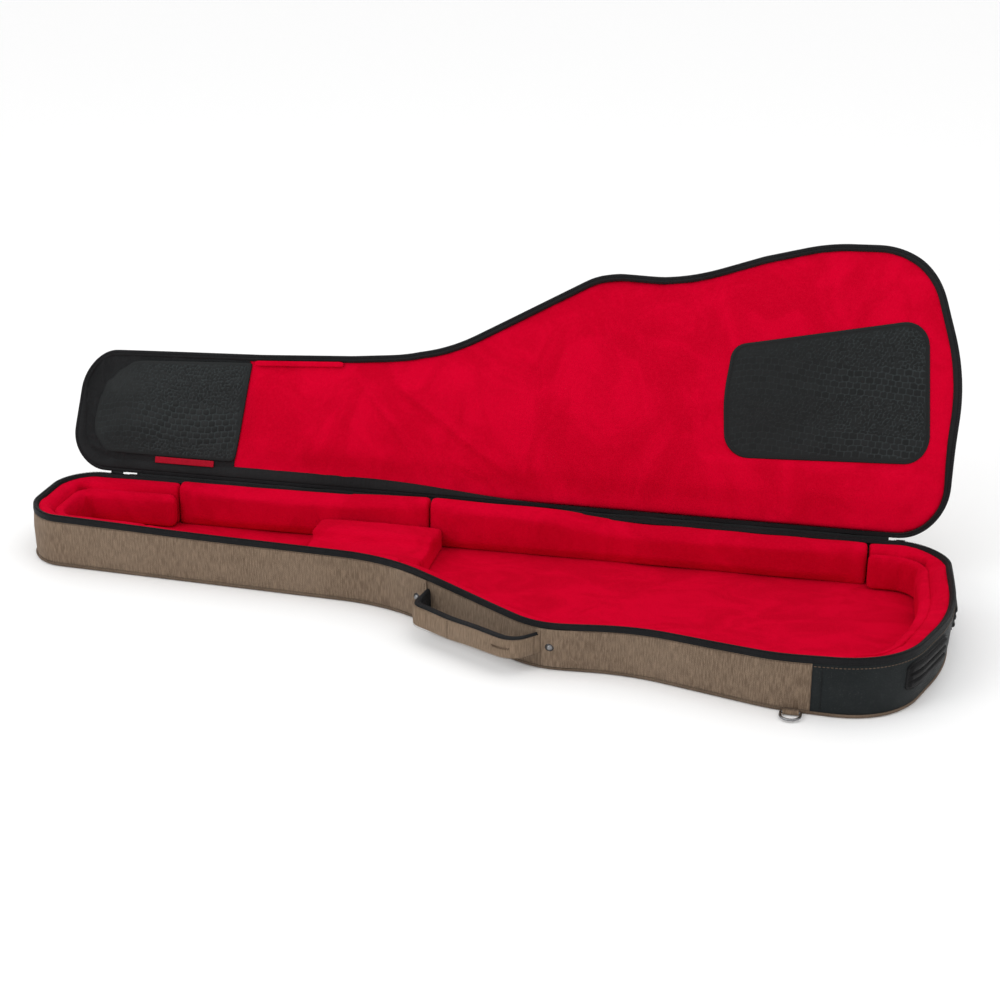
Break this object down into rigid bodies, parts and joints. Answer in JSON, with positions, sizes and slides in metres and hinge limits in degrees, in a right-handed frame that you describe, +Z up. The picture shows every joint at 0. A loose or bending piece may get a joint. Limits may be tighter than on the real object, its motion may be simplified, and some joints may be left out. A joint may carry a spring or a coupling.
{
  "type": "padded instrument gig bag",
  "caption": "Clamshell padded gig bag lying open: plush-lined tub with neck cradle, hinged lid with guards and outer pockets, carry handle, zips and strap rings.",
  "frame": {"origin": "middle of the open bag's footprint, on the floor it lies on", "axes": "+X from the head end to the body end, +Y towards the hinge side, +Z up from the floor"},
  "size_m": [1.3348, 0.6176, 0.4609],
  "materials": {
    "tan_weave": "melange woven cloth, vertical streaks",
    "red_plush": "short brushed pile",
    "black_gusset": "plain weave binding",
    "zip_tape": "herringbone zip tape",
    "zip_coil": "moulded nylon coil",
    "coated_cloth": "coated woven cloth",
    "embossed_hide": "scale-embossed, semi-gloss",
    "bumper_rubber": "ribbed moulding",
    "tan_webbing": "ribbed webbing",
    "dark_nickel": "black nickel plate",
    "foam": "closed-cell foam",
    "label_cloth": "woven label, blank"
  },
  "bodies": {
    "tub": {"back_panel": "tan_weave", "side_wall": "tan_weave", "end_panel": "coated_cloth", "tub_zip_tape": "zip_tape", "tub_zip_coil": "zip_coil", "hinge_strip": "black_gusset", "floor_pad": "red_plush", "head_wall_pad": "red_plush", "neck_wall_pad_near": "red_plush", "neck_wall_pad_far": "red_plush", "body_wall_pad_near": "red_plush", "body_wall_pad_far": "red_plush", "end_wall_pad": "red_plush", "headstock_surround": "red_plush", "end_bolster": "red_plush", "neck_cradle": "red_plush", "bumper_near": "bumper_rubber", "bumper_far": "bumper_rubber", "handle_rivets": "dark_nickel", "ring_tab_near": "tan_webbing", "ring_tab_far": "tan_webbing"},
    "lid": {"lid_zip_tape": "zip_tape", "lid_zip_coil": "zip_coil", "lid_hinge_edge": "black_gusset", "lid_gusset": "black_gusset", "lid_front_panel": "tan_weave", "lid_pad": "red_plush", "head_guard": "embossed_hide", "bridge_guard": "embossed_hide", "label_tag": "label_cloth", "accessory_pocket": "tan_weave", "accessory_zip_tape": "zip_tape", "slim_pocket": "tan_weave", "slim_zip_tape": "zip_tape"},
    "handle": {"handle_core": "foam", "handle_cover": "tan_weave", "handle_lining": "black_gusset"},
    "near_ring": {"d_ring_near": "dark_nickel"},
    "far_ring": {"d_ring_far": "dark_nickel"},
    "head_slider": {"main_slider_head": "dark_nickel"},
    "head_pull": {"main_pull_head": "dark_nickel"},
    "end_slider": {"main_slider_end": "dark_nickel"},
    "end_pull": {"main_pull_end": "dark_nickel"},
    "accessory_slider": {"accessory_slider": "dark_nickel"},
    "accessory_pull": {"accessory_pull": "dark_nickel"},
    "slim_slider": {"slim_slider": "dark_nickel"},
    "slim_pull": {"slim_pull": "dark_nickel"}
  },
  "joints": [
    {"name": "lid_hinge", "type": "hinge", "parent": "tub", "child": "lid", "pos_m": [0, 0.1314, 0.07625], "axis": [-1, 0, 0], "range_deg": [-110.8, 69.2]},
    {"name": "handle_swing", "type": "hinge", "parent": "tub", "child": "handle", "pos_m": [0.05, -0.1771, 0.0355], "axis": [0.8649, -0.502, 0], "range_deg": [-14, 22]},
    {"name": "near_ring_swing", "type": "hinge", "parent": "tub", "child": "near_ring", "pos_m": [0.468, -0.28653, 0.004], "axis": [-1, 0, 0], "range_deg": [0, 100]},
    {"name": "far_ring_swing", "type": "hinge", "parent": "tub", "child": "far_ring", "pos_m": [0.468, 0.1374, 0.004], "axis": [1, 0, 0], "range_deg": [0, 100]},
    {"name": "head_slider_run", "type": "slide", "parent": "tub", "child": "head_slider", "axis": [-1, 0, 0], "range_m": [0, 0.03]},
    {"name": "head_pull_swing", "type": "hinge", "parent": "head_slider", "child": "head_pull", "pos_m": [-0.556, 0.1327, 0.072], "axis": [0, 1, 0], "range_deg": [-60, 60]},
    {"name": "end_slider_run", "type": "slide", "parent": "tub", "child": "end_slider", "axis": [1, 0, 0], "range_m": [0, 0.03]},
    {"name": "end_pull_swing", "type": "hinge", "parent": "end_slider", "child": "end_pull", "pos_m": [0.582, 0.1327, 0.072], "axis": [0, 1, 0], "range_deg": [-60, 60]},
    {"name": "accessory_slider_run", "type": "slide", "parent": "lid", "child": "accessory_slider", "axis": [1, 0, 0], "range_m": [0, 0.395]},
    {"name": "accessory_pull_swing", "type": "hinge", "parent": "accessory_slider", "child": "accessory_pull", "pos_m": [0.1238, 0.20894, 0.12916], "axis": [0, 0.3551, 0.9348], "range_deg": [0, 165]},
    {"name": "slim_slider_run", "type": "slide", "parent": "lid", "child": "slim_slider", "axis": [1, 0, 0], "range_m": [0, 0.39]},
    {"name": "slim_pull_swing", "type": "hinge", "parent": "slim_slider", "child": "slim_pull", "pos_m": [-0.3922, 0.20001, 0.11972], "axis": [0, 0.3551, 0.9348], "range_deg": [0, 165]}
  ]
}
